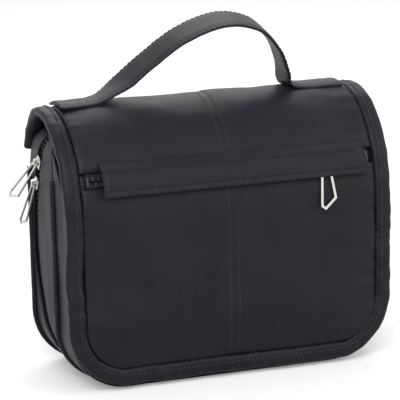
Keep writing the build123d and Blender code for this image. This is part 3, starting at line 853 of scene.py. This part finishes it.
STRAP_HALF = 14 * MM
STRAP_THICK = 3 * MM
STRAP_Y = 9 * MM


def bezier_point(points, share):
    """A point on a smooth line through the listed points."""
    count = len(points) - 1
    place = min(share * count, count - 1e-6)
    index = int(place)
    t = place - index
    p0 = Vector(points[max(index - 1, 0)])
    p1 = Vector(points[index])
    p2 = Vector(points[index + 1])
    p3 = Vector(points[min(index + 2, count)])
    return 0.5 * (2 * p1 + (p2 - p0) * t + (2 * p0 - 5 * p1 + 4 * p2 - p3) * t * t
                  + (3 * p1 - p0 - 3 * p2 + p3) * t**3)


def top_height(y):
    """Height of the flap's surface at a depth near the ridge."""
    half = RIDGE_Y - FLAP_FACE if y < RIDGE_Y else FLAP_REAR_HALF
    share = min(abs(y - RIDGE_Y) / half, 0.999)
    return SHOULDER_Z + (RIDGE_Z - SHOULDER_Z) * math.sqrt(1 - share**2)


class BAG_OT_handle(bpy.types.Operator):
    """Makes the strap handle with its sewn-down ends"""
    bl_idname = "bag.handle"
    bl_label = "Handle"

    def execute(self, context):
        sizes = context.scene.bag_sizes
        left_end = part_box("handle_tab_left")[0][0]
        right_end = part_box("handle_tab_right")[1][0]
        root = RIDGE_Z + STRAP_THICK / 2
        top = 257 * MM
        line = (
            (left_end, root), (-97 * MM, root), (-80 * MM, root + 2 * MM), (-62 * MM, 213 * MM),
            (-43 * MM, 229 * MM), (-18 * MM, 247 * MM), (12 * MM, top), (38 * MM, 252 * MM),
            (55 * MM, 236 * MM), (64 * MM, 217 * MM), (68 * MM, root + 3 * MM), (80 * MM, root),
            (95 * MM, root), (right_end, root),
        )
        lean = math.radians(14)
        steps = 170

        def place(u, v):
            here = bezier_point(line, v)
            ahead = bezier_point(line, min(v + 0.003, 1))
            behind = bezier_point(line, max(v - 0.003, 0))
            along = (ahead - behind).normalized()
            normal = Vector((-along.y, along.x))
            turn = 2 * math.pi * u
            across = math.copysign(abs(math.cos(turn)) ** 0.35, math.cos(turn)) * STRAP_HALF
            thick = math.copysign(abs(math.sin(turn)) ** 0.55, math.sin(turn)) * STRAP_THICK / 2
            edge = (STRAP_HALF - abs(across)) / MM
            thick -= math.copysign(0.35 * MM, thick) * math.exp(-((edge - 2.4) / 0.7) ** 2)
            thick += 0.25 * MM * wave(v * 60, across * 60, 2.0)
            x = here.x + normal.x * thick
            z = here.y + normal.y * thick
            y = STRAP_Y + across
            free = smooth_step(root + 1 * MM, root + 16 * MM, here.y)
            seated = z - (RIDGE_Z - top_height(y)) * (1 - free)
            rise = z - root
            lean_y = STRAP_Y + math.cos(lean) * across - math.sin(lean) * rise
            lean_z = root + math.cos(lean) * rise + math.sin(lean) * across
            return Vector((x, y * (1 - free) + lean_y * free, seated * (1 - free) + lean_z * free)), (
                v * 260 * MM, across)

        piece = cloth_grid("handle_strap_cloth", 36, steps, place)
        merge_ring(piece)
        finish(piece, "", MATERIALS["cloth"],
               ("handle_strap", "handle_core", "handle_tab_left", "handle_tab_right"))
        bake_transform(piece)
        places = []
        for side in (0.055, 0.445):
            points = [place(side, index / 300)[0] for index in range(301)]
            middle = [place(0.5 - side, index / 300)[0] for index in range(301)]
            outs = []
            for index in range(300):
                along = points[index + 1] - points[index]
                outs.append(along.cross(middle[index] - points[index]).normalized())
            outs = [-out if out.z < 0 else out for out in outs]
            places += stitch_row(points, outs, sizes.stitch, sizes.stitch_gap)
        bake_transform(sew("handle_stitches", places, "", sizes))
        return {"FINISHED"}


class BAG_OT_stage(bpy.types.Operator):
    """Makes the floor, lamps, background and camera"""
    bl_idname = "bag.stage"
    bl_label = "Stage"

    def execute(self, context):
        deselect_all()
        bpy.ops.mesh.primitive_plane_add(size=12, location=(0, 0, 0))
        floor = bpy.context.object
        floor.name = "studio_floor"
        material, tree, shader = blank_material("painted_pale_floor")
        shader.inputs["Base Color"].default_value = srgb("#f4f4f4")
        shader.inputs["Roughness"].default_value = 0.9
        path = add_node(tree, "ShaderNodeLightPath")
        lift = add_node(tree, "ShaderNodeMath", {"operation": "MULTIPLY"}, i0=path.outputs["Is Camera Ray"],
                        i1=0.22)
        shader.inputs["Emission Color"].default_value = (1, 1, 1, 1)
        tree.links.new(lift.outputs[0], shader.inputs["Emission Strength"])
        floor.data.materials.append(material)
        for name, place, size, power in (
            ("key_softbox", (-0.9, -1.6, 1.5), 1.2, 30), ("fill_softbox", (1.5, -1.3, 0.9), 1.4, 14),
            ("rim_softbox", (0.3, 1.4, 1.6), 1.2, 12),
        ):
            bpy.ops.object.light_add(type="AREA", location=place)
            lamp = bpy.context.object
            lamp.name = name
            lamp.data.size = size
            lamp.data.energy = power
            aim = Vector((0, 0, 0.12)) - Vector(place)
            lamp.rotation_euler = aim.to_track_quat("-Z", "Y").to_euler()
        world = bpy.data.worlds.new("white_room")
        context.scene.world = world
        world.use_nodes = True
        tree = world.node_tree
        tree.nodes.clear()
        path = add_node(tree, "ShaderNodeLightPath")
        seen = add_node(tree, "ShaderNodeMath", {"operation": "MAXIMUM"}, i0=path.outputs["Is Camera Ray"],
                        i1=path.outputs["Is Glossy Ray"])
        strength = add_node(tree, "ShaderNodeMapRange", i0=seen.outputs[0], i3=0.55, i4=1.0)
        light = add_node(tree, "ShaderNodeBackground", Color=(1, 1, 1, 1), Strength=strength.outputs[0])
        out = add_node(tree, "ShaderNodeOutputWorld", Surface=light.outputs[0])
        azimuth, elevation, roll = (math.radians(v) for v in (-20.0, 12.5, -1.3))
        back = Vector((math.sin(azimuth) * math.cos(elevation), -math.cos(azimuth) * math.cos(elevation),
                       math.sin(elevation)))
        right = Vector((math.cos(azimuth), math.sin(azimuth), 0))
        up = back.cross(right)
        turned_right = right * math.cos(roll) + up * math.sin(roll)
        turned_up = up * math.cos(roll) - right * math.sin(roll)
        bpy.ops.object.camera_add()
        camera = bpy.context.object
        camera.name = "photo_camera"
        spin = Matrix((turned_right, turned_up, back)).transposed()
        place = Vector((-5.1 * MM, 0, 121.7 * MM)) + back * 1.665
        camera.matrix_world = Matrix.Translation(place) @ spin.to_4x4()
        camera.data.sensor_width = 36
        camera.data.lens = 202.5
        context.scene.camera = camera
        context.scene.view_settings.view_transform = "Standard"
        return {"FINISHED"}


OPERATORS = (BAG_OT_materials, BAG_OT_covers, BAG_OT_border, BAG_OT_lining, BAG_OT_placket, BAG_OT_body,
             BAG_OT_piping, BAG_OT_handle, BAG_OT_stage)


class BAG_PT_panel(bpy.types.Panel):
    """Lists the bag's operators and sizes"""
    bl_idname = "BAG_PT_panel"
    bl_label = "Toiletry Bag"
    bl_space_type = "VIEW_3D"
    bl_region_type = "UI"
    bl_category = "Bag"

    def draw(self, context):
        for name in ("puff", "pucker", "stitch", "stitch_gap"):
            self.layout.prop(context.scene.bag_sizes, name)
        for name in ("cloth_dark", "cloth_light", "thread", "metal"):
            self.layout.prop(context.scene.bag_colours, name)
        for operator in OPERATORS:
            self.layout.operator(operator.bl_idname)


CLASSES = (BagSizes, BagColours, *OPERATORS, BAG_PT_panel)


def register():
    for cls in CLASSES:
        bpy.utils.register_class(cls)
    bpy.types.Scene.bag_sizes = PointerProperty(type=BagSizes)
    bpy.types.Scene.bag_colours = PointerProperty(type=BagColours)


def unregister():
    del bpy.types.Scene.bag_colours
    del bpy.types.Scene.bag_sizes
    for cls in reversed(CLASSES):
        bpy.utils.unregister_class(cls)


def main():
    register()
    for operator in OPERATORS:
        group, name = operator.bl_idname.split(".")
        getattr(getattr(bpy.ops, group), name)()


if __name__ == "__main__":
    main()
